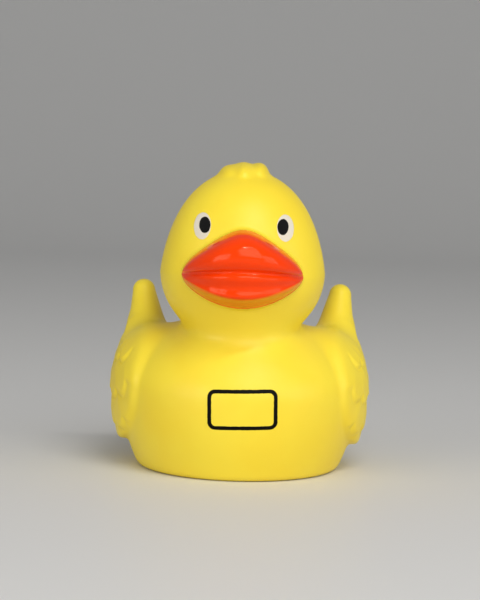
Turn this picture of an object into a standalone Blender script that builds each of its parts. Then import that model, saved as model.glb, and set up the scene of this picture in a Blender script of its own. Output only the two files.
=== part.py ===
"""Squeaky rubber duck: one hollow vinyl shell with a squeaker pressed into its base. Metres, +Z up.

The duck faces -Y and stands on z = 0. Its outside is one formula: eggs, tapered horns and a bill, blended
into each other. duck() is roughly the distance to that surface, negative inside. skin() turns such a
formula into a closed mesh.
"""

import math

import bmesh
import bpy
import numpy as np

# Body: an egg cut flat at z = 0, wider below its middle than above it.
BODY_CENTRE = (0.0, 0.0015, 0.0215)
BODY_RADII = (0.0321, 0.0360, 0.0395)  # across, along, down to where the egg would end
BODY_RISE = 0.0200  # from the middle up to the back
BASE_EDGE = 0.0022  # rounding between the base and the sides

# Head: an egg with its narrow end up.
HEAD_CENTRE = (0.0, -0.0105, 0.0535)
HEAD_RADII = (0.0218, 0.0215, 0.0195)
HEAD_RISE = 0.0268
HEAD_NARROWING = 0.035  # how much slimmer than a true ellipsoid the head is halfway up
NECK_BLEND = (0.0060, 0.0190)  # at the sides and at the front

# Tail: a flat horn that turns up at the back.
TAIL_ROOT = (0.0, 0.0270, 0.0270)
TAIL_TIP = (0.0, 0.0385, 0.0440)
TAIL_RADII = (0.0110, 0.0030)  # at the root and at the tip
TAIL_WIDENING = 1.55  # how much wider than thick it is
TAIL_BLEND = 0.0120

# Wings: a pad over each side of the body, whose tip stands up free of the back.
WING_CENTRE = (0.0010, 0.0226)  # along, up
WING_OUTLINE = (0.0195, 0.0155)
WING_THICKNESS = (0.0010, 0.0023)  # over the body, at the front and from the middle back
WING_THICKENING = 0.10  # how fast it gets thicker above its middle
WING_INNER = (0.0140, 0.0220)  # it begins between these distances from the middle of the duck
WING_EDGE = 0.0026
WING_TIP = (0.0273, 0.0190, 0.0455)
WING_TIP_ROOT = (0.0252, 0.0120, 0.0300)
WING_TIP_RADII = (0.0066, 0.0031)
WING_TIP_DEPTH = 1.35  # how much deeper, front to back, than wide the tip is
WING_TIP_BLEND = 0.0070
WING_BLEND = 0.0018

# Feathers: rows of scallops around the shoulder of each wing.
SHOULDER = (-0.0060, 0.0360)  # along, up
FEATHER_ROWS = (0.0090, 0.0185, 0.0265, 0.0350)  # how far from the shoulder each row ends
FEATHERS_BEGIN = (0.0270, 0.0325)  # between these distances from the middle of the duck
FEATHERS_END = (-0.0410, -0.0370)  # between these depths under the wing's tip
FEATHER_WIDTH = 0.0078
FEATHER_ROUNDING = 0.0026
FEATHER_HEIGHT = 0.0009
FEATHER_FALL = 0.0016  # how far the step down at a feather's end reaches

# Bill: it stands out of the face by a share of its depth, which falls from the middle to the corners.
MOUTH_HEIGHT = 0.0550  # in the middle
BILL_HALF_WIDTH = 0.0157
BILL_TOP = 0.0104  # above the mouth line
BILL_BOTTOM = 0.0098
BILL_DEPTH = 0.0098
CORNER_DEPTH = 0.0020
CORNER_DROP = 0.0017
CORNER_ROUNDING = (0.0028, 0.0020)  # above and below the mouth line
APEX_ROUNDNESS = 0.28
GROOVE = (0.0001, 0.0020)  # how deep the mouth line is, in the middle and at the corners
GROOVE_WIDTH = 0.0007
UPPER_BILL = (  # (how far up from the mouth line to the upper edge, share of the depth)
    (0, 0.76),
    (0.10, 0.86),
    (0.25, 0.96),
    (0.42, 1.0),
    (0.58, 0.99),
    (0.74, 0.91),
    (0.86, 0.74),
    (0.96, 0.42),
    (1.02, 0),
)
LOWER_BILL = (  # the same, down from the mouth line
    (0, 0.76),
    (0.08, 0.85),
    (0.17, 0.85),
    (0.38, 0.76),
    (0.49, 0.75),
    (0.59, 0.79),
    (0.68, 0.77),
    (0.82, 0.46),
    (0.96, 0.18),
    (1.02, 0),
)
BILL_BLEND = 0.0008

# Tuft: three locks side by side on the crown.
LOCKS = (
    ((-0.0038, -0.0085, 0.0784), (0.0032, 0.0080, 0.0031)),
    ((-0.0004, -0.0092, 0.0789), (0.0034, 0.0092, 0.0034)),
    ((0.0036, -0.0085, 0.0791), (0.0026, 0.0080, 0.0031)),
)
LOCK_BLEND = 0.0022

# Wall and base.
WALL = 0.0020
FLOOR = 0.0034
SEAT_RADIUS = 0.0080  # shallow seat for the squeaker's outer flange
SEAT_DEPTH = 0.0016
HOLE_RADIUS = 0.0060

# Squeaker: a flanged cup that snaps into the hole, with a reed and a cap inside it. Heights are from z = 0.
GAP = 0.0003
FLANGE_RADIUS = 0.0076
FLANGE_HEIGHTS = (0.0004, SEAT_DEPTH - GAP)
BARREL_RADIUS = HOLE_RADIUS - GAP
BARREL_TOP = 0.0076
BARREL_WALL = 0.0010
COLLAR_RADIUS = 0.0065
COLLAR_HEIGHTS = (FLOOR + GAP, FLOOR + 0.0008, FLOOR + 0.0016)  # its underside, its rim and its top
CUP_FLOOR = 0.0016
LEDGE_RADIUS = 0.0037
LEDGE_HEIGHT = 0.0050
AIR_HOLE_RADIUS = 0.00125
REED_SIZE = (0.0022, 0.0084, 0.0003)
CAP_HEIGHTS = (LEDGE_HEIGHT + 2 * GAP + REED_SIZE[2], 0.0072)
CAP_HOLE_RADIUS = 0.0010

OUTSIDE_CELL = 0.0014
OUTSIDE_KEPT = 0.24  # share of the outside's triangles that stay
CAVITY_CELL = 0.0032
GRID = ((-0.040, -0.048, -0.004), (0.040, 0.048, 0.088))
STEP = 1e-5  # for slopes worked out from differences
OVERSHOOT = 0.0010  # how far a cutter runs past what it cuts
VINYL_YELLOW = (0.91, 0.66, 0.035, 1.0)
SQUEAKER_WHITE = (0.80, 0.80, 0.77, 1.0)
REED_GREY = (0.60, 0.62, 0.63, 1.0)


def norm(vectors):
    return np.sqrt(np.einsum("ij,ij->i", vectors, vectors))


def egg(points, centre, radii, rise=None):
    """Distance to an ellipsoid whose upper half may have another height."""
    offset = points - np.array(centre)
    size = np.tile(np.array(radii), (len(points), 1))
    if rise is not None:
        size[:, 2] = np.where(offset[:, 2] > 0, rise, radii[2])
    inner = norm(offset / size)
    return inner * (inner - 1) / np.maximum(norm(offset / size**2), 1e-9)


def flat_ellipse(across, up, radii):
    """Distance to an ellipse in a plane."""
    inner = np.hypot(across / radii[0], up / radii[1])
    return inner * (inner - 1) / np.maximum(np.hypot(across / radii[0] ** 2, up / radii[1] ** 2), 1e-9)


def horn(points, root, tip, radii):
    """Distance to a rod with round ends, which tapers from radii[0] at the root to radii[1] at the tip."""
    root = np.array(root)
    along = np.array(tip) - root
    share = np.clip((points - root) @ along / (along @ along), 0, 1)
    return norm(points - root - share[:, None] * along) - (radii[0] + (radii[1] - radii[0]) * share)


def rising(values, start, end):
    """0 before start, 1 after end, and a smooth rise between."""
    share = np.clip((values - start) / (end - start), 0, 1)
    return share * share * (3 - 2 * share)


def union(first, second, blend):
    """The two together, with a fillet of about this size between them."""
    near = np.maximum(blend - np.abs(first - second), 0) / blend
    return np.minimum(first, second) - near**3 * blend / 6


def smooth_curve(places, stops):
    """A curve through the stops, (place, value) pairs in order, with the mean slope at each stop."""
    x, y = np.array(stops).T
    slope = np.gradient(y, x)
    i = np.clip(np.searchsorted(x, places) - 1, 0, len(x) - 2)
    width = x[i + 1] - x[i]
    t = (places - x[i]) / width
    ahead = slope[-1] * np.maximum(places - x[-1], 0)  # past the last stop it goes straight on
    t = np.clip(t, 0, 1)
    return (
        y[i] * (1 + 2 * t) * (1 - t) ** 2
        + y[i + 1] * t**2 * (3 - 2 * t)
        + slope[i] * width * t * (1 - t) ** 2
        + slope[i + 1] * width * t**2 * (t - 1)
        + ahead
    )


def head(points):
    up = np.clip((points[:, 2] - HEAD_CENTRE[2]) / HEAD_RISE, 0, 1)
    slimmer = 1 - HEAD_NARROWING * 4 * up * (1 - up)
    slimmed = points.copy()
    slimmed[:, 0] /= slimmer
    slimmed[:, 1] = HEAD_CENTRE[1] + (points[:, 1] - HEAD_CENTRE[1]) / slimmer
    return egg(slimmed, HEAD_CENTRE, HEAD_RADII, HEAD_RISE)


def neck_blend(points):
    """The size of the fillet between head and body, which is wide at the throat."""
    front = rising(HEAD_CENTRE[1] - points[:, 1], 0, HEAD_RADII[1])
    return NECK_BLEND[0] + (NECK_BLEND[1] - NECK_BLEND[0]) * front


def tail(points):
    narrowed = points / np.array((TAIL_WIDENING, 1, 1))
    return horn(narrowed, TAIL_ROOT, TAIL_TIP, TAIL_RADII)


def wing_pad(points):
    x, y, z = points.T
    front = WING_CENTRE[0] - WING_OUTLINE[0]
    thickness = WING_THICKNESS[0] + (WING_THICKNESS[1] - WING_THICKNESS[0]) * rising(y, front, WING_CENTRE[0])
    thickness += WING_THICKENING * np.maximum(z - WING_CENTRE[1], 0)
    thickness -= 2 * WING_THICKNESS[1] * (1 - rising(x, *WING_INNER))
    rim = flat_ellipse(y - WING_CENTRE[0], z - WING_CENTRE[1], WING_OUTLINE)
    return -union(thickness - egg(points, BODY_CENTRE, BODY_RADII, BODY_RISE), -rim, WING_EDGE)


def wing(points):
    """The wing at +X. Both sides use it, with points mirrored to +X."""
    squeeze = np.array((1, 1 / WING_TIP_DEPTH, 1))
    root, tip = np.array(WING_TIP_ROOT) * squeeze, np.array(WING_TIP) * squeeze
    return union(wing_pad(points), horn(points * squeeze, root, tip, WING_TIP_RADII), WING_TIP_BLEND)


def feathers(points):
    """Height of the feather relief: rows of scallops that overlap like shingles, away from the shoulder."""
    along, down = points[:, 1] - SHOULDER[0], SHOULDER[1] - points[:, 2]
    away = np.hypot(along, down)
    turn = np.arctan2(along, down)
    relief = np.zeros(len(points))
    start = np.zeros(len(points))
    for row, reach in enumerate(FEATHER_ROWS):
        pitch = FEATHER_WIDTH / reach
        across = (turn / pitch + 0.5 * (row % 2)) % 1 * 2 - 1  # -1 and 1 at a feather's sides
        end = reach - FEATHER_ROUNDING * across**2
        share = np.clip((away - start) / (end - start), 0, 1)
        fall = np.clip((end - away) / FEATHER_FALL, 0, 1)
        relief = np.where(away > start, (0.25 + 0.75 * share) * fall * fall * (3 - 2 * fall), relief)
        start = end
    on_wing = rising(points[:, 0], *FEATHERS_BEGIN) * rising(-points[:, 2], *FEATHERS_END)
    return FEATHER_HEIGHT * relief * on_wing


def bill_outline(x):
    """Height of the bill's upper edge, of the mouth line and of the lower edge, at x."""
    u = np.clip(np.abs(x) / BILL_HALF_WIDTH, 0, 1)
    span = math.hypot(1, APEX_ROUNDNESS)
    peak = (span - np.hypot(u, APEX_ROUNDNESS)) / (span - APEX_ROUNDNESS)
    mouth = MOUTH_HEIGHT - CORNER_DROP * u**2
    above, below = np.outer(CORNER_ROUNDING, np.sqrt(1 - u**10))
    above += (BILL_TOP - CORNER_ROUNDING[0]) * peak
    below += (BILL_BOTTOM - CORNER_ROUNDING[1]) * (1 - u**2)
    return mouth + above, mouth, mouth - below


def bill(points):
    """Distance to what lies behind the bill's front, which is a height over the face."""
    x, y, z = points.T
    top, mouth, bottom = bill_outline(x)
    u = np.minimum(np.abs(x) / BILL_HALF_WIDTH, 1)
    upper = smooth_curve((z - mouth) / np.maximum(top - mouth, 4e-4), UPPER_BILL)
    lower = smooth_curve((mouth - z) / np.maximum(mouth - bottom, 4e-4), LOWER_BILL)
    share = np.maximum(np.where(z > mouth, upper, lower), -2)
    depth = CORNER_DEPTH + (BILL_DEPTH - CORNER_DEPTH) * (1 - u**2.6) ** 0.8
    groove = (GROOVE[0] + (GROOVE[1] - GROOVE[0]) * u**2) * np.exp(-(((z - mouth) / GROOVE_WIDTH) ** 2))
    bulge = 1 - (x / HEAD_RADII[0]) ** 2 - ((z - HEAD_CENTRE[2]) / HEAD_RISE) ** 2
    face = HEAD_CENTRE[1] - HEAD_RADII[1] * np.sqrt(np.maximum(bulge, 0.05))
    front = face - np.where(share > 0, depth, BILL_DEPTH) * share + groove
    front += 2 * np.maximum(np.abs(x) - BILL_HALF_WIDTH, 0)
    reach = np.maximum(y - HEAD_CENTRE[1], np.abs(z - MOUTH_HEIGHT) - 1.5 * BILL_TOP)
    return np.maximum(front - y, reach)


def tuft(points):
    found = egg(points, *LOCKS[0])
    for centre, radii in LOCKS[1:]:
        found = union(found, egg(points, centre, radii), LOCK_BLEND)
    return found


def bill_distance(points):
    """bill() divided by its slope, so that it measures distance even where the front is steep."""
    here = bill(points)
    slope = np.array([(bill(points + step) - here) / STEP for step in np.eye(3) * STEP]).T
    return here / np.maximum(norm(slope), 1)


def duck(points):
    """The outside of the duck."""
    mirrored = np.abs(points) * (1, 0, 0) + points * (0, 1, 1)
    form = union(egg(points, BODY_CENTRE, BODY_RADII, BODY_RISE), tail(points), TAIL_BLEND)
    form = union(form, head(points), neck_blend(points))
    form = union(form, wing(mirrored) - feathers(mirrored), WING_BLEND)
    form = union(form, bill_distance(points), BILL_BLEND)
    form = union(form, tuft(points), LOCK_BLEND)
    return -union(-form, points[:, 2], BASE_EDGE)


def hollow(points):
    """The air inside: the body, the head and the wing pads, a wall further in. The thin parts are solid."""
    mirrored = np.abs(points) * (1, 0, 0) + points * (0, 1, 1)
    form = union(egg(points, BODY_CENTRE, BODY_RADII, BODY_RISE), head(points), neck_blend(points))
    form = union(form, wing_pad(mirrored), WING_BLEND)
    return -union(-form - WALL, points[:, 2] - FLOOR, 2 * BASE_EDGE)


def slopes(form, points):
    """The form's slope at each point."""
    steps = np.eye(3) * STEP
    return np.array([(form(points + step) - form(points - step)) / (2 * STEP) for step in steps]).T


def onto(form, points):
    """The points moved onto the form's surface, along its slope."""
    slope = slopes(form, points)
    return points - (form(points) / np.maximum((slope**2).sum(axis=1), 0.05))[:, None] * slope


def without_pinches(inside):
    """The grid, filled in until no square has corners inside and outside by turns, where two sheets meet."""
    filled = inside.copy()
    before = -1
    while filled.sum() != before:
        before = filled.sum()
        for axis in range(3):
            layers = np.moveaxis(filled, axis, 0)
            a, b, c, d = layers[:, :-1, :-1], layers[:, 1:, :-1], layers[:, 1:, 1:], layers[:, :-1, 1:]
            by_turns = (a == c) & (b == d) & (a != b)
            for corner in (a, b, c, d):
                corner |= by_turns
    return filled


def crossed_cells(inside):
    """(number of each grid cell that the surface crosses, or -1, and where those cells are)"""
    starts = [(i, j, k) for i in (0, 1) for j in (0, 1) for k in (0, 1)]
    corners = [inside[i : i - 1 or None, j : j - 1 or None, k : k - 1 or None] for i, j, k in starts]
    count = sum(corner.astype(int) for corner in corners)
    crossed = (count > 0) & (count < 8)
    number = np.full(crossed.shape, -1)
    number[crossed] = np.arange(crossed.sum())
    return number, np.argwhere(crossed)


def skin(form, low, high, cell, rounds=8):
    """(points, quads) of the form's surface: a point in each grid cell that it crosses, and a quad round each
    grid line that crosses it."""
    low = np.array(low)
    counts = np.ceil((np.array(high) - low) / cell).astype(int) + 1
    lines = np.meshgrid(*[low[i] + cell * np.arange(counts[i]) for i in range(3)], indexing="ij")
    inside = without_pinches((form(np.stack(lines, axis=-1).reshape(-1, 3)) < 0).reshape(counts))
    number, cells = crossed_cells(inside)
    points = low + (cells + 0.5) * cell

    quads = []
    for axis in range(3):
        a, b = (axis + 1) % 3, (axis + 2) % 3
        turned = np.moveaxis(inside, (axis, a, b), (0, 1, 2))
        numbered = np.moveaxis(number, (axis, a, b), (0, 1, 2))
        enters = turned[:-1, 1:-1, 1:-1] & ~turned[1:, 1:-1, 1:-1]
        leaves = ~turned[:-1, 1:-1, 1:-1] & turned[1:, 1:-1, 1:-1]
        around = [numbered[:, :-1, :-1], numbered[:, 1:, :-1], numbered[:, 1:, 1:], numbered[:, :-1, 1:]]
        around = np.stack(around, axis=-1)
        quads += [around[enters], around[leaves][:, ::-1]]
    quads = np.concatenate(quads)

    ends = np.concatenate([quads[:, [0, 1]], quads[:, [1, 2]], quads[:, [2, 3]], quads[:, [3, 0]]])
    degree = np.bincount(ends[:, 0], minlength=len(points))[:, None]
    for _ in range(rounds):
        mean = np.zeros_like(points)
        np.add.at(mean, ends[:, 0], points[ends[:, 1]])
        points = onto(form, mean / degree)
    return onto(form, onto(form, points)), quads


def new_object(name, points, faces, material=None):
    mesh = bpy.data.meshes.new(name)
    mesh.from_pydata(points.tolist(), [], faces.tolist())
    mesh.update()
    if material:
        mesh.materials.append(material)
    mesh.shade_smooth()
    obj = bpy.data.objects.new(name, mesh)
    bpy.context.collection.objects.link(obj)
    return obj


def plain_material(name, colour, roughness, metallic=0.0):
    material = bpy.data.materials.new(name)
    material.use_nodes = True
    shader = material.node_tree.nodes["Principled BSDF"]
    shader.inputs["Base Color"].default_value = colour
    shader.inputs["Roughness"].default_value = roughness
    shader.inputs["Metallic"].default_value = metallic
    return material


def turned(name, profile, material, sides=48):
    """A ring round the Z axis: profile is its section, (radius, height) pairs in order."""
    mesh = bpy.data.meshes.new(name)
    shape = bmesh.new()
    loop = [shape.verts.new((radius, 0, height)) for radius, height in profile]
    edges = [shape.edges.new((a, b)) for a, b in zip(loop, loop[1:] + loop[:1])]
    bmesh.ops.spin(shape, geom=loop + edges, cent=(0, 0, 0), axis=(0, 0, 1), angle=2 * math.pi, steps=sides)
    bmesh.ops.remove_doubles(shape, verts=shape.verts, dist=1e-6)
    bmesh.ops.recalc_face_normals(shape, faces=shape.faces)
    shape.to_mesh(mesh)
    shape.free()
    mesh.materials.append(material)
    mesh.shade_smooth()
    mesh.set_sharp_from_angle(angle=math.radians(30))
    bpy.context.collection.objects.link(bpy.data.objects.new(name, mesh))


def disc_cutter(name, radius, low, high):
    mesh = bpy.data.meshes.new(name)
    shape = bmesh.new()
    bmesh.ops.create_cone(shape, cap_ends=True, segments=64, radius1=radius, radius2=radius, depth=high - low)
    bmesh.ops.translate(shape, verts=shape.verts, vec=(0, 0, (low + high) / 2))
    shape.to_mesh(mesh)
    shape.free()
    obj = bpy.data.objects.new(name, mesh)
    bpy.context.collection.objects.link(obj)
    return obj


def cut(obj, cutter):
    difference = obj.modifiers.new("less_" + cutter.name, "BOOLEAN")
    difference.operation = "DIFFERENCE"
    difference.solver = "EXACT"
    difference.object = cutter
    cutter.hide_render = True
    cutter.display_type = "WIRE"


def make_duck_shell():
    vinyl = plain_material("vinyl", VINYL_YELLOW, 0.45)
    shell = new_object("duck_shell", *skin(duck, *GRID, OUTSIDE_CELL), vinyl)
    thinned = shell.modifiers.new("thinned", "DECIMATE")
    thinned.ratio = OUTSIDE_KEPT
    cut(shell, new_object("hollow", *skin(hollow, *GRID, CAVITY_CELL)))
    cut(shell, disc_cutter("squeaker_hole", HOLE_RADIUS, -OVERSHOOT, FLOOR + OVERSHOOT))
    cut(shell, disc_cutter("squeaker_seat", SEAT_RADIUS, -OVERSHOOT, SEAT_DEPTH))


def make_squeaker_body():
    low, high = FLANGE_HEIGHTS
    profile = (
        (AIR_HOLE_RADIUS, low),
        (FLANGE_RADIUS, low),
        (FLANGE_RADIUS, high),
        (BARREL_RADIUS, high),
        (BARREL_RADIUS, COLLAR_HEIGHTS[0]),
        (COLLAR_RADIUS, COLLAR_HEIGHTS[0]),
        (COLLAR_RADIUS, COLLAR_HEIGHTS[1]),
        (BARREL_RADIUS, COLLAR_HEIGHTS[2]),
        (BARREL_RADIUS, BARREL_TOP),
        (BARREL_RADIUS - BARREL_WALL, BARREL_TOP),
        (BARREL_RADIUS - BARREL_WALL, LEDGE_HEIGHT),
        (LEDGE_RADIUS, LEDGE_HEIGHT),
        (LEDGE_RADIUS, CUP_FLOOR),
        (AIR_HOLE_RADIUS, CUP_FLOOR),
    )
    turned("squeaker_body", profile, plain_material("white_plastic", SQUEAKER_WHITE, 0.40))


def make_squeaker_cap():
    low, high = CAP_HEIGHTS
    radius = BARREL_RADIUS - BARREL_WALL - GAP
    profile = ((CAP_HOLE_RADIUS, low), (radius, low), (radius, high), (CAP_HOLE_RADIUS, high))
    turned("squeaker_cap", profile, plain_material("cap_plastic", SQUEAKER_WHITE, 0.45))


def make_squeaker_reed():
    mesh = bpy.data.meshes.new("squeaker_reed")
    shape = bmesh.new()
    bmesh.ops.create_cube(shape, size=1)
    bmesh.ops.scale(shape, verts=shape.verts, vec=REED_SIZE)
    bmesh.ops.translate(shape, verts=shape.verts, vec=(0, 0, LEDGE_HEIGHT + GAP + REED_SIZE[2] / 2))
    shape.to_mesh(mesh)
    shape.free()
    mesh.materials.append(plain_material("reed_film", REED_GREY, 0.35))
    bpy.context.collection.objects.link(bpy.data.objects.new("squeaker_reed", mesh))


def main():
    for obj in list(bpy.data.objects):
        bpy.data.objects.remove(obj)
    make_duck_shell()
    make_squeaker_body()
    make_squeaker_cap()
    make_squeaker_reed()


main()
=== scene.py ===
"""Looks of the squeaky rubber duck: a fine shell with its feathers and paint, in a plain studio. Metres.

The outside is the same formula as the CAD shell's, in finer cells: eggs, tapered horns and a bill, blended
into each other. duck() is roughly the distance to that surface, negative inside. What is painted is stored
on the mesh, mostly as distances in millimetres, negative inside the paint.
"""

import math

import bpy
import numpy as np
from mathutils import Euler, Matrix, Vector


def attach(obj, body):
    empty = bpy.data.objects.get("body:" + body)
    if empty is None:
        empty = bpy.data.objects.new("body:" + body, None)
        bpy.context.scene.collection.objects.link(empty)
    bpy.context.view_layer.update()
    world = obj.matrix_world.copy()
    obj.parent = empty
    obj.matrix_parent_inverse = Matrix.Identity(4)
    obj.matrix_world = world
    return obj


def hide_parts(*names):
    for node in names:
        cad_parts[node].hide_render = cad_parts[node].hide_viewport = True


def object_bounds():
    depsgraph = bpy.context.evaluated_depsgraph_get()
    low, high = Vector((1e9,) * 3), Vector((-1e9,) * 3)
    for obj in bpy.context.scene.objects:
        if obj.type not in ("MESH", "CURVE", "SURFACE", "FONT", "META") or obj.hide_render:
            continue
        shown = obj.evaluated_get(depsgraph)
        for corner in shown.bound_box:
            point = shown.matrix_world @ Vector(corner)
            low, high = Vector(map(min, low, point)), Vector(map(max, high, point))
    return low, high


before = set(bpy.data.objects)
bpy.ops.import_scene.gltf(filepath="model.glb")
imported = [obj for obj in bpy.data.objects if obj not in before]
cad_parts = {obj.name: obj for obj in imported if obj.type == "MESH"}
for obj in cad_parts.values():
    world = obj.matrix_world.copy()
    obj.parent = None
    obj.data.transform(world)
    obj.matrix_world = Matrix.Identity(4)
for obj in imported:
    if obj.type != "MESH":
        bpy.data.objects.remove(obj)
CAD_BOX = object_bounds()

# Body: an egg cut flat at z = 0, wider below its middle than above it.
BODY_CENTRE = (0.0, 0.0015, 0.0215)
BODY_RADII = (0.0321, 0.0360, 0.0395)  # across, along, down to where the egg would end
BODY_RISE = 0.0200  # from the middle up to the back
BASE_EDGE = 0.0022  # rounding between the base and the sides

# Head: an egg with its narrow end up.
HEAD_CENTRE = (0.0, -0.0105, 0.0535)
HEAD_RADII = (0.0218, 0.0215, 0.0195)
HEAD_RISE = 0.0268
HEAD_NARROWING = 0.035  # how much slimmer than a true ellipsoid the head is halfway up
NECK_BLEND = (0.0060, 0.0190)  # at the sides and at the front

# Tail: a flat horn that turns up at the back.
TAIL_ROOT = (0.0, 0.0270, 0.0270)
TAIL_TIP = (0.0, 0.0385, 0.0440)
TAIL_RADII = (0.0110, 0.0030)  # at the root and at the tip
TAIL_WIDENING = 1.55  # how much wider than thick it is
TAIL_BLEND = 0.0120

# Wings: a pad over each side of the body, whose tip stands up free of the back.
WING_CENTRE = (0.0010, 0.0226)  # along, up
WING_OUTLINE = (0.0195, 0.0155)
WING_THICKNESS = (0.0010, 0.0023)  # over the body, at the front and from the middle back
WING_THICKENING = 0.10  # how fast it gets thicker above its middle
WING_INNER = (0.0140, 0.0220)  # it begins between these distances from the middle of the duck
WING_EDGE = 0.0026
WING_TIP = (0.0273, 0.0190, 0.0455)
WING_TIP_ROOT = (0.0252, 0.0120, 0.0300)
WING_TIP_RADII = (0.0066, 0.0031)
WING_TIP_DEPTH = 1.35  # how much deeper, front to back, than wide the tip is
WING_TIP_BLEND = 0.0070
WING_BLEND = 0.0018

# Feathers: rows of scallops around the shoulder of each wing.
SHOULDER = (-0.0060, 0.0360)  # along, up
FEATHER_ROWS = (0.0090, 0.0185, 0.0265, 0.0350)  # how far from the shoulder each row ends
FEATHERS_BEGIN = (0.0270, 0.0325)  # between these distances from the middle of the duck
FEATHERS_END = (-0.0410, -0.0370)  # they fade in from the first to the second: heights with the sign turned
FEATHER_WIDTH = 0.0078
FEATHER_ROUNDING = 0.0026
FEATHER_HEIGHT = 0.0009
FEATHER_ROOT = 0.25  # how high a feather is at its root, as a share of that
FEATHER_FALL = 0.0019  # how far the step down at a feather's end reaches

# Bill: it stands out of the face by a share of its depth, which falls from the middle to the corners.
MOUTH_HEIGHT = 0.0550  # in the middle
BILL_HALF_WIDTH = 0.0157
BILL_TOP = 0.0104  # above the mouth line
BILL_BOTTOM = 0.0098
BILL_DEPTH = 0.0098
CORNER_DEPTH = 0.0020
CORNER_DROP = 0.0017
CORNER_ROUNDING = (0.0028, 0.0020)  # above and below the mouth line
APEX_ROUNDNESS = 0.28
GROOVE = (0.0001, 0.0020)  # how deep the mouth line is, in the middle and at the corners
GROOVE_WIDTH = 0.0007
UPPER_BILL = (  # (how far up from the mouth line to the upper edge, share of the depth)
    (0, 0.76),
    (0.10, 0.86),
    (0.25, 0.96),
    (0.42, 1.0),
    (0.58, 0.99),
    (0.74, 0.91),
    (0.86, 0.74),
    (0.96, 0.42),
    (1.02, 0),
)
LOWER_BILL = (  # the same, down from the mouth line
    (0, 0.76),
    (0.08, 0.85),
    (0.17, 0.85),
    (0.38, 0.76),
    (0.49, 0.75),
    (0.59, 0.79),
    (0.68, 0.77),
    (0.82, 0.46),
    (0.96, 0.18),
    (1.02, 0),
)
BILL_BLEND = 0.0008

# Tuft: three locks side by side on the crown.
LOCKS = (
    ((-0.0038, -0.0085, 0.0784), (0.0032, 0.0080, 0.0031)),
    ((-0.0004, -0.0092, 0.0789), (0.0034, 0.0092, 0.0034)),
    ((0.0036, -0.0085, 0.0791), (0.0026, 0.0080, 0.0031)),
)
LOCK_BLEND = 0.0022

# Hole for the squeaker, whose cup and flange are CAD pieces.
SEAT_RADIUS = 0.0080
SEAT_DEPTH = 0.0016
HOLE_RADIUS = 0.0060
HOLE_DEPTH = 0.0090

# Paint, as seen from the front: (across, up).
EYE_CENTRE = (0.0107, 0.0659)
EYE_RADII = (0.0022, 0.00343)
EYE_LEAN = math.radians(4.5)  # its foot leans outwards
PUPIL_CENTRE = (0.01007, 0.0662)
PUPIL_RADII = (0.00148, 0.00207)
PRINT_CENTRE = (0.00095, 0.0195)
PRINT_HALF_SIZE = (0.0090, 0.00522)  # to the outside of the line
PRINT_CORNER = 0.0020
PRINT_LINE = 0.00100
PRINT_TILT = math.radians(1.35)

CELL = 0.00056
MARGIN = 0.003  # how far the grid of cells reaches past the CAD model's box
UNPAINTED = 50  # mm from any paint, for the back of the duck
STEP = 1e-5  # for slopes worked out from differences
THIN = 4e-4  # the least height that the halves of the bill are divided by
MM = 1000


def norm(vectors):
    return np.sqrt(np.einsum("ij,ij->i", vectors, vectors))


def egg(points, centre, radii, rise=None):
    """Distance to an ellipsoid whose upper half may have another height."""
    offset = points - np.array(centre)
    size = np.tile(np.array(radii), (len(points), 1))
    if rise is not None:
        size[:, 2] = np.where(offset[:, 2] > 0, rise, radii[2])
    inner = norm(offset / size)
    return inner * (inner - 1) / np.maximum(norm(offset / size**2), 1e-9)


def flat_ellipse(across, up, radii):
    """Distance to an ellipse in a plane."""
    inner = np.hypot(across / radii[0], up / radii[1])
    return inner * (inner - 1) / np.maximum(np.hypot(across / radii[0] ** 2, up / radii[1] ** 2), 1e-9)


def horn(points, root, tip, radii):
    """Distance to a rod with round ends, which tapers from radii[0] at the root to radii[1] at the tip."""
    root = np.array(root)
    along = np.array(tip) - root
    share = np.clip((points - root) @ along / (along @ along), 0, 1)
    return norm(points - root - share[:, None] * along) - (radii[0] + (radii[1] - radii[0]) * share)


def rising(values, start, end):
    """0 before start, 1 after end, and a smooth rise between."""
    share = np.clip((values - start) / (end - start), 0, 1)
    return share * share * (3 - 2 * share)


def union(first, second, blend):
    """The two together, with a fillet of about this size between them."""
    near = np.maximum(blend - np.abs(first - second), 0) / blend
    return np.minimum(first, second) - near**3 * blend / 6


def smooth_curve(places, stops):
    """A curve through the stops, (place, value) pairs in order, with the mean slope at each stop."""
    x, y = np.array(stops).T
    slope = np.gradient(y, x)
    i = np.clip(np.searchsorted(x, places) - 1, 0, len(x) - 2)
    width = x[i + 1] - x[i]
    t = (places - x[i]) / width
    ahead = slope[-1] * np.maximum(places - x[-1], 0)  # past the last stop it goes straight on
    t = np.clip(t, 0, 1)
    return (
        y[i] * (1 + 2 * t) * (1 - t) ** 2
        + y[i + 1] * t**2 * (3 - 2 * t)
        + slope[i] * width * t * (1 - t) ** 2
        + slope[i + 1] * width * t**2 * (t - 1)
        + ahead
    )


def head(points):
    up = np.clip((points[:, 2] - HEAD_CENTRE[2]) / HEAD_RISE, 0, 1)
    slimmer = 1 - HEAD_NARROWING * 4 * up * (1 - up)
    slimmed = points.copy()
    slimmed[:, 0] /= slimmer
    slimmed[:, 1] = HEAD_CENTRE[1] + (points[:, 1] - HEAD_CENTRE[1]) / slimmer
    return egg(slimmed, HEAD_CENTRE, HEAD_RADII, HEAD_RISE)


def neck_blend(points):
    """The size of the fillet between head and body, which is wide at the throat."""
    front = rising(HEAD_CENTRE[1] - points[:, 1], 0, HEAD_RADII[1])
    return NECK_BLEND[0] + (NECK_BLEND[1] - NECK_BLEND[0]) * front


def tail(points):
    narrowed = points / np.array((TAIL_WIDENING, 1, 1))
    return horn(narrowed, TAIL_ROOT, TAIL_TIP, TAIL_RADII)


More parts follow.
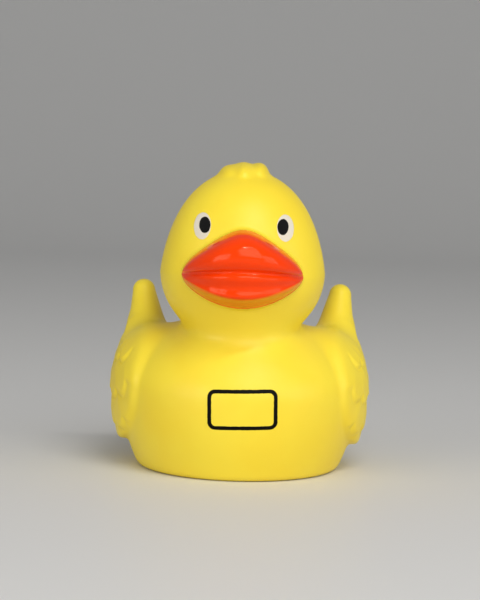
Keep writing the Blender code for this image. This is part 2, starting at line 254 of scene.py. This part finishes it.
def wing_pad(points):
    x, y, z = points.T
    front = WING_CENTRE[0] - WING_OUTLINE[0]
    thickness = WING_THICKNESS[0] + (WING_THICKNESS[1] - WING_THICKNESS[0]) * rising(y, front, WING_CENTRE[0])
    thickness += WING_THICKENING * np.maximum(z - WING_CENTRE[1], 0)
    thickness -= 2 * WING_THICKNESS[1] * (1 - rising(x, *WING_INNER))
    rim = flat_ellipse(y - WING_CENTRE[0], z - WING_CENTRE[1], WING_OUTLINE)
    return -union(thickness - egg(points, BODY_CENTRE, BODY_RADII, BODY_RISE), -rim, WING_EDGE)


def wing(points):
    """The wing at +X. Both sides use it, with points mirrored to +X."""
    squeeze = np.array((1, 1 / WING_TIP_DEPTH, 1))
    root, tip = np.array(WING_TIP_ROOT) * squeeze, np.array(WING_TIP) * squeeze
    return union(wing_pad(points), horn(points * squeeze, root, tip, WING_TIP_RADII), WING_TIP_BLEND)


def feathers(points):
    """Height of the feather relief: rows of scallops that overlap like shingles, away from the shoulder."""
    along, down = points[:, 1] - SHOULDER[0], SHOULDER[1] - points[:, 2]
    away = np.hypot(along, down)
    turn = np.arctan2(along, down)
    relief = np.zeros(len(points))
    start = np.zeros(len(points))
    for row, reach in enumerate(FEATHER_ROWS):
        pitch = FEATHER_WIDTH / reach
        across = (turn / pitch + 0.5 * (row % 2)) % 1 * 2 - 1  # -1 and 1 at a feather's sides
        end = reach - FEATHER_ROUNDING * across**2
        share = np.clip((away - start) / (end - start), 0, 1)
        fall = np.clip((end - away) / FEATHER_FALL, 0, 1)
        height = FEATHER_ROOT + (1 - FEATHER_ROOT) * share
        relief = np.where(away > start, height * fall * fall * (3 - 2 * fall), relief)
        start = end
    on_wing = rising(points[:, 0], *FEATHERS_BEGIN) * rising(-points[:, 2], *FEATHERS_END)
    return FEATHER_HEIGHT * relief * on_wing


def bill_outline(x):
    """Height of the bill's upper edge, of the mouth line and of the lower edge, at x."""
    u = np.clip(np.abs(x) / BILL_HALF_WIDTH, 0, 1)
    span = math.hypot(1, APEX_ROUNDNESS)
    peak = (span - np.hypot(u, APEX_ROUNDNESS)) / (span - APEX_ROUNDNESS)
    mouth = MOUTH_HEIGHT - CORNER_DROP * u**2
    above, below = np.outer(CORNER_ROUNDING, np.sqrt(1 - u**10))
    above += (BILL_TOP - CORNER_ROUNDING[0]) * peak
    below += (BILL_BOTTOM - CORNER_ROUNDING[1]) * (1 - u**2)
    return mouth + above, mouth, mouth - below


def bill(points):
    """Distance to what lies behind the bill's front, which is a height over the face."""
    x, y, z = points.T
    top, mouth, bottom = bill_outline(x)
    u = np.minimum(np.abs(x) / BILL_HALF_WIDTH, 1)
    upper = smooth_curve((z - mouth) / np.maximum(top - mouth, THIN), UPPER_BILL)
    lower = smooth_curve((mouth - z) / np.maximum(mouth - bottom, THIN), LOWER_BILL)
    share = np.maximum(np.where(z > mouth, upper, lower), -2)
    depth = CORNER_DEPTH + (BILL_DEPTH - CORNER_DEPTH) * (1 - u**2.6) ** 0.8
    groove = (GROOVE[0] + (GROOVE[1] - GROOVE[0]) * u**2) * np.exp(-(((z - mouth) / GROOVE_WIDTH) ** 2))
    bulge = 1 - (x / HEAD_RADII[0]) ** 2 - ((z - HEAD_CENTRE[2]) / HEAD_RISE) ** 2
    face = HEAD_CENTRE[1] - HEAD_RADII[1] * np.sqrt(np.maximum(bulge, 0.05))
    front = face - np.where(share > 0, depth, BILL_DEPTH) * share + groove
    front += 2 * np.maximum(np.abs(x) - BILL_HALF_WIDTH, 0)
    reach = np.maximum(y - HEAD_CENTRE[1], np.abs(z - MOUTH_HEIGHT) - 1.5 * BILL_TOP)
    return np.maximum(front - y, reach)


def tuft(points):
    found = egg(points, *LOCKS[0])
    for centre, radii in LOCKS[1:]:
        found = union(found, egg(points, centre, radii), LOCK_BLEND)
    return found


def bill_distance(points):
    """bill() divided by its slope, so that it measures distance even where the front is steep."""
    here = bill(points)
    slope = np.array([(bill(points + step) - here) / STEP for step in np.eye(3) * STEP]).T
    return here / np.maximum(norm(slope), 1)


def squeaker_hole(points):
    """Distance to the stepped hole in the base."""
    away = np.hypot(points[:, 0], points[:, 1])
    seat = np.maximum(away - SEAT_RADIUS, points[:, 2] - SEAT_DEPTH)
    return np.minimum(seat, np.maximum(away - HOLE_RADIUS, points[:, 2] - HOLE_DEPTH))


def duck(points):
    """The outside of the duck."""
    mirrored = np.abs(points) * (1, 0, 0) + points * (0, 1, 1)
    form = union(egg(points, BODY_CENTRE, BODY_RADII, BODY_RISE), tail(points), TAIL_BLEND)
    form = union(form, head(points), neck_blend(points))
    form = union(form, wing(mirrored) - feathers(mirrored), WING_BLEND)
    form = union(form, bill_distance(points), BILL_BLEND)
    form = union(form, tuft(points), LOCK_BLEND)
    form = -union(-form, points[:, 2], BASE_EDGE)
    return np.maximum(form, -squeaker_hole(points))


def slopes(form, points):
    """The form's slope at each point."""
    steps = np.eye(3) * STEP
    return np.array([(form(points + step) - form(points - step)) / (2 * STEP) for step in steps]).T


def onto(form, points):
    """The points moved onto the form's surface, along its slope."""
    slope = slopes(form, points)
    return points - (form(points) / np.maximum((slope**2).sum(axis=1), 0.05))[:, None] * slope


def grid_inside(form, low, counts, cell, coarse=4):
    """Which grid points are inside the form. Only those near its surface are worked out one by one."""
    blocks = [math.ceil(count / coarse) for count in counts]
    middles = np.stack(np.meshgrid(*[np.arange(n) for n in blocks], indexing="ij"), axis=-1).reshape(-1, 3)
    distance = form(low + cell * (coarse * middles + (coarse - 1) / 2)).reshape(blocks)
    every = np.ones((coarse, coarse, coarse))
    inside = np.kron(distance, every)[: counts[0], : counts[1], : counts[2]] < 0
    close = np.kron(np.abs(distance) < 1.6 * coarse * cell, every)[: counts[0], : counts[1], : counts[2]] > 0
    places = np.argwhere(close)
    inside[close] = form(low + cell * places) < 0
    return inside


def without_pinches(inside):
    """The grid, filled in until no square has corners inside and outside by turns, where two sheets meet."""
    filled = inside.copy()
    before = -1
    while filled.sum() != before:
        before = filled.sum()
        for axis in range(3):
            layers = np.moveaxis(filled, axis, 0)
            a, b, c, d = layers[:, :-1, :-1], layers[:, 1:, :-1], layers[:, 1:, 1:], layers[:, :-1, 1:]
            by_turns = (a == c) & (b == d) & (a != b)
            for corner in (a, b, c, d):
                corner |= by_turns
    return filled


def crossed_cells(inside):
    """(number of each grid cell that the surface crosses, or -1, and where those cells are)"""
    starts = [(i, j, k) for i in (0, 1) for j in (0, 1) for k in (0, 1)]
    corners = [inside[i : i - 1 or None, j : j - 1 or None, k : k - 1 or None] for i, j, k in starts]
    count = sum(corner.astype(int) for corner in corners)
    crossed = (count > 0) & (count < 8)
    number = np.full(crossed.shape, -1)
    number[crossed] = np.arange(crossed.sum())
    return number, np.argwhere(crossed)


def skin(form, low, high, cell, rounds=6):
    """(points, quads) of the form's surface: a point in each grid cell that it crosses, and a quad round each
    grid line that crosses it."""
    low = np.array(low)
    counts = np.ceil((np.array(high) - low) / cell).astype(int) + 1
    inside = without_pinches(grid_inside(form, low, counts, cell))
    number, cells = crossed_cells(inside)
    points = low + (cells + 0.5) * cell

    quads = []
    for axis in range(3):
        a, b = (axis + 1) % 3, (axis + 2) % 3
        turned = np.moveaxis(inside, (axis, a, b), (0, 1, 2))
        numbered = np.moveaxis(number, (axis, a, b), (0, 1, 2))
        enters = turned[:-1, 1:-1, 1:-1] & ~turned[1:, 1:-1, 1:-1]
        leaves = ~turned[:-1, 1:-1, 1:-1] & turned[1:, 1:-1, 1:-1]
        around = [numbered[:, :-1, :-1], numbered[:, 1:, :-1], numbered[:, 1:, 1:], numbered[:, :-1, 1:]]
        around = np.stack(around, axis=-1)
        quads += [around[enters], around[leaves][:, ::-1]]
    quads = np.concatenate(quads)

    ends = np.concatenate([quads[:, [0, 1]], quads[:, [1, 2]], quads[:, [2, 3]], quads[:, [3, 0]]])
    degree = np.bincount(ends[:, 0], minlength=len(points))[:, None]
    for _ in range(rounds):
        sums = [np.bincount(ends[:, 0], points[ends[:, 1], i], len(points)) for i in range(3)]
        points = onto(form, np.stack(sums, axis=1) / degree)
    return onto(form, onto(form, points)), quads


def turned_in_plane(across, up, turn):
    return across * math.cos(turn) + up * math.sin(turn), up * math.cos(turn) - across * math.sin(turn)


def print_line(x, z):
    """Distance to the outside of the printed frame, a rectangle with round corners."""
    across, up = x - PRINT_CENTRE[0], z - PRINT_CENTRE[1]
    across, up = turned_in_plane(across, up, PRINT_TILT)
    flat = np.abs(across) - PRINT_HALF_SIZE[0] + PRINT_CORNER
    tall = np.abs(up) - PRINT_HALF_SIZE[1] + PRINT_CORNER
    outside = np.hypot(np.maximum(flat, 0), np.maximum(tall, 0))
    return outside + np.minimum(np.maximum(flat, tall), 0) - PRINT_CORNER


def painted(points):
    """{name: value at each point}: the distance in mm to each painted field, negative inside it.

    under_bill is how far down the lower bill a point is: 0 at the mouth line and 1 at the edge, and more
    towards the sides.
    """
    x, y, z = points.T
    top, mouth, bottom = bill_outline(x)
    behind = np.where(y < HEAD_CENTRE[1], 0, UNPAINTED)  # paint is on the front only
    wide = (np.abs(x) - BILL_HALF_WIDTH) * MM
    eye = flat_ellipse(*turned_in_plane(np.abs(x) - EYE_CENTRE[0], z - EYE_CENTRE[1], EYE_LEAN), EYE_RADII)
    pupil = flat_ellipse(np.abs(x) - PUPIL_CENTRE[0], z - PUPIL_CENTRE[1], PUPIL_RADII)
    return {
        "bill_mm": np.maximum(np.maximum(z - top, bottom - z) * MM, wide) + behind,
        "under_bill": (mouth - z) / np.maximum(mouth - bottom, THIN) + 0.25 * (x / BILL_HALF_WIDTH) ** 2,
        "eye_mm": eye * MM + behind,
        "pupil_mm": pupil * MM + behind,
        "print_mm": print_line(x, z) * MM + behind,
    }


class Nodes:
    """Short ways to add shader nodes to a material."""

    def __init__(self, material):
        self.tree = material.node_tree

    def feed(self, socket, value):
        if isinstance(value, bpy.types.NodeSocket):
            self.tree.links.new(value, socket)
        else:
            socket.default_value = value

    def attribute(self, name):
        node = self.tree.nodes.new("ShaderNodeAttribute")
        node.attribute_name = name
        return node.outputs["Fac"]

    def ramp(self, value, start, end, low=0.0, high=1.0):
        """value mapped smoothly from start..end to low..high."""
        node = self.tree.nodes.new("ShaderNodeMapRange")
        node.interpolation_type = "SMOOTHSTEP"
        names = ("Value", "From Min", "From Max", "To Min", "To Max")
        for name, number in zip(names, (value, start, end, low, high)):
            self.feed(node.inputs[name], number)
        return node.outputs["Result"]

    def maths(self, operation, first, second=0.0):
        node = self.tree.nodes.new("ShaderNodeMath")
        node.operation = operation
        self.feed(node.inputs[0], first)
        self.feed(node.inputs[1], second)
        return node.outputs[0]

    def mix(self, share, first, second):
        node = self.tree.nodes.new("ShaderNodeMix")
        node.data_type = "RGBA"
        self.feed(node.inputs[0], share)
        self.feed(node.inputs[6], first)
        self.feed(node.inputs[7], second)
        return node.outputs[2]

    def noise(self, scale, detail=2.0, roughness=0.5):
        node = self.tree.nodes.new("ShaderNodeTexNoise")
        place = self.tree.nodes.new("ShaderNodeTexCoord")
        self.tree.links.new(place.outputs["Object"], node.inputs["Vector"])
        node.inputs["Scale"].default_value = scale
        node.inputs["Detail"].default_value = detail
        node.inputs["Roughness"].default_value = roughness
        return node.outputs["Fac"]

    def bump(self, height, distance, strength=1.0, under=None):
        node = self.tree.nodes.new("ShaderNodeBump")
        self.feed(node.inputs["Height"], height)
        node.inputs["Distance"].default_value = distance
        node.inputs["Strength"].default_value = strength
        if under:
            self.feed(node.inputs["Normal"], under)
        return node.outputs["Normal"]


def new_material(name):
    material = bpy.data.materials.new(name)
    material.use_nodes = True
    return material, material.node_tree.nodes["Principled BSDF"], Nodes(material)


# Colours, linear.
YELLOW = (0.880, 0.685, 0.040, 1)
YELLOW_DEEP = (0.865, 0.645, 0.030, 1)
ORANGE_RED = (0.880, 0.046, 0.0008, 1)
ORANGE = (0.810, 0.225, 0.006, 1)
EYE_WHITE = (0.70, 0.64, 0.52, 1)
BLACK = (0.0025, 0.0025, 0.002, 1)
WHITE = (1, 1, 1, 1)
WARM = (1, 0.62, 0.42, 1)


def vinyl_and_paint():
    """Satin yellow vinyl, with the bill, the eyes and the frame on the chest painted on it."""
    material, shader, nodes = new_material("vinyl_and_paint")
    bill_edge = nodes.attribute("bill_mm")
    under = nodes.attribute("under_bill")
    eye = nodes.attribute("eye_mm")
    pupil = nodes.attribute("pupil_mm")
    line = nodes.attribute("print_mm")
    wobble = nodes.ramp(nodes.noise(900, 3), 0.3, 0.7, -0.03, 0.03)

    vinyl = nodes.mix(nodes.ramp(nodes.noise(45, 3), 0.35, 0.65), YELLOW, YELLOW_DEEP)
    on_bill = nodes.ramp(nodes.maths("ADD", bill_edge, wobble), -0.05, 0.10, 1, 0)
    red = nodes.mix(nodes.ramp(under, 0.66, 0.76), ORANGE_RED, ORANGE)
    red = nodes.mix(nodes.ramp(bill_edge, -0.7, -0.2), red, ORANGE_RED)
    colour = nodes.mix(on_bill, vinyl, red)
    on_eye = nodes.ramp(nodes.maths("ADD", eye, wobble), -0.06, 0.06, 1, 0)
    colour = nodes.mix(on_eye, colour, EYE_WHITE)
    on_pupil = nodes.ramp(nodes.maths("ADD", pupil, wobble), -0.05, 0.05, 1, 0)
    colour = nodes.mix(on_pupil, colour, BLACK)
    half_line = MM * PRINT_LINE / 2
    from_line = nodes.maths("ABSOLUTE", nodes.maths("ADD", line, half_line))
    on_line = nodes.ramp(nodes.maths("ADD", from_line, wobble), half_line - 0.06, half_line + 0.06, 1, 0)
    colour = nodes.mix(on_line, colour, BLACK)
    nodes.feed(shader.inputs["Base Color"], colour)

    smudges = nodes.ramp(nodes.noise(120, 4), 0.3, 0.75, 0.38, 0.48)
    gloss = nodes.maths("MAXIMUM", on_bill, on_eye)
    smoother = nodes.maths("MULTIPLY", gloss, 0.30)
    nodes.feed(shader.inputs["Roughness"], nodes.maths("SUBTRACT", smudges, smoother))
    nodes.feed(shader.inputs["Specular Tint"], nodes.mix(on_bill, WHITE, WARM))
    nodes.feed(shader.inputs["Specular IOR Level"], nodes.ramp(on_line, 0, 1, 0.38, 0.06))
    shader.inputs["Subsurface Weight"].default_value = 0.06
    shader.inputs["Subsurface Radius"].default_value = (1.0, 0.80, 0.30)
    shader.inputs["Subsurface Scale"].default_value = 0.0015

    printed = nodes.maths("MAXIMUM", nodes.maths("MAXIMUM", on_eye, on_pupil), on_line)
    paint_film = nodes.bump(printed, 0.00006)
    grain = nodes.bump(nodes.noise(2600, 2), 0.00002, 0.35, paint_film)
    nodes.feed(shader.inputs["Normal"], nodes.bump(nodes.noise(220, 2), 0.00008, 0.35, grain))
    return material


def make_duck():
    low, high = np.array(CAD_BOX[0]) - MARGIN, np.array(CAD_BOX[1]) + MARGIN
    points, quads = skin(duck, low, high, CELL * (1))
    mesh = bpy.data.meshes.new("duck")
    mesh.from_pydata(points.tolist(), [], quads.tolist())
    mesh.materials.append(vinyl_and_paint())
    mesh.shade_smooth()
    for name, values in painted(points).items():
        mesh.attributes.new(name, "FLOAT", "POINT").data.foreach_set("value", values.astype(np.float32))
    obj = bpy.data.objects.new("duck", mesh)
    bpy.context.collection.objects.link(obj)
    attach(obj, "root")
    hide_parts("duck_shell")
    return obj


def squeaker_plastic(name, colour, roughness):
    material, shader, nodes = new_material(name)
    darker = tuple(0.86 * channel for channel in colour[:3]) + (1,)
    clouds = nodes.ramp(nodes.noise(300, 3), 0.3, 0.7)
    smudges = nodes.ramp(nodes.noise(500, 3), 0.3, 0.7, roughness - 0.06, roughness + 0.08)
    nodes.feed(shader.inputs["Base Color"], nodes.mix(clouds, colour, darker))
    nodes.feed(shader.inputs["Roughness"], smudges)
    nodes.feed(shader.inputs["Normal"], nodes.bump(nodes.noise(1500, 2), 0.00003, 0.4))
    return material


def paint_squeaker():
    finishes = {
        "squeaker_body": ("milky_plastic", (0.80, 0.80, 0.77, 1), 0.40),
        "squeaker_cap": ("milky_cap_plastic", (0.78, 0.78, 0.74, 1), 0.45),
        "squeaker_reed": ("reed_film", (0.60, 0.62, 0.63, 1), 0.32),
    }
    for node, finish in finishes.items():
        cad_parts[node].material_slots[0].material = squeaker_plastic(*finish)


def make_floor():
    """A pale floor that curves up into a wall behind the duck."""
    reach, near, far, wall = 3.0, -3.0, 0.9, 2.6
    bend = 0.9
    turns = np.linspace(0, math.pi / 2, 33)
    curve = [(far + bend * math.sin(turn), bend * (1 - math.cos(turn))) for turn in turns]
    section = [(near, 0), *curve, (far + bend, wall)]
    corners = [(side, y, z) for y, z in section for side in (-reach, reach)]
    faces = [(2 * i, 2 * i + 1, 2 * i + 3, 2 * i + 2) for i in range(len(section) - 1)]
    mesh = bpy.data.meshes.new("floor")
    mesh.from_pydata(corners, [], faces)
    mesh.shade_smooth()
    material, shader, _ = new_material("pale_floor")
    shader.inputs["Base Color"].default_value = (0.70, 0.69, 0.67, 1)
    shader.inputs["Roughness"].default_value = 0.55
    mesh.materials.append(material)
    obj = bpy.data.objects.new("floor", mesh)
    bpy.context.collection.objects.link(obj)


def soft_light(name, place, size, watts, colour=(1, 1, 1), aim=(0, -0.01, 0.045)):
    light = bpy.data.lights.new(name, "AREA")
    light.shape = "RECTANGLE"
    light.size, light.size_y = size
    light.energy = watts
    light.color = colour
    obj = bpy.data.objects.new(name, light)
    obj.location = place
    obj.rotation_euler = (Vector(aim) - Vector(place)).to_track_quat("-Z", "Y").to_euler()
    bpy.context.collection.objects.link(obj)


def make_lights():
    soft_light("key", (0.30, -0.92, 0.56), (0.90, 0.80), 6.0, (1.0, 0.99, 0.97))
    soft_light("fill_left", (-0.85, -0.80, 0.22), (0.80, 0.60), 4.6, (1.0, 0.99, 0.98))
    soft_light("fill_right", (0.95, -0.50, 0.24), (0.70, 0.60), 2.6, (1.0, 0.99, 0.98))
    soft_light("strip", (0.20, -0.50, 0.76), (0.46, 0.03), 2.1)
    world = bpy.data.worlds.new("studio")
    world.use_nodes = True
    world.node_tree.nodes["Background"].inputs["Color"].default_value = (0.90, 0.92, 0.95, 1)
    world.node_tree.nodes["Background"].inputs["Strength"].default_value = 0.30
    bpy.context.scene.world = world


# Camera: as far from the duck as a photographer stands for a small object, a little above its middle.
CAMERA_DISTANCE = 0.60
CAMERA_RISE = math.radians(5.0)
CAMERA_ROLL = math.radians(1.6)
VIEW_HEIGHT = 0.162  # what the frame's height covers, at the duck
AIM = (-0.0005, 0.0038)  # how far to the side of the duck's middle and above it the camera looks


def make_camera():
    middle = (CAD_BOX[0][2] + CAD_BOX[1][2]) / 2
    aim = Vector((AIM[0], 0, middle + AIM[1]))
    camera = bpy.data.cameras.new("camera")
    camera.sensor_width = 36
    camera.lens = camera.sensor_width * CAMERA_DISTANCE / VIEW_HEIGHT
    camera.clip_start = 0.01
    obj = bpy.data.objects.new("camera", camera)
    stand = Vector((0, -math.cos(CAMERA_RISE), math.sin(CAMERA_RISE))) * CAMERA_DISTANCE
    obj.location = Vector((0, 0, middle)) + stand
    look = (aim - obj.location).to_track_quat("-Z", "Y")
    obj.rotation_euler = (look @ Euler((0, 0, CAMERA_ROLL)).to_quaternion()).to_euler()
    bpy.context.collection.objects.link(obj)
    bpy.context.scene.camera = obj


def main():
    bpy.context.scene.view_settings.view_transform = "Standard"
    make_camera()
    make_lights()
    make_floor()
    make_duck()
    paint_squeaker()


main()
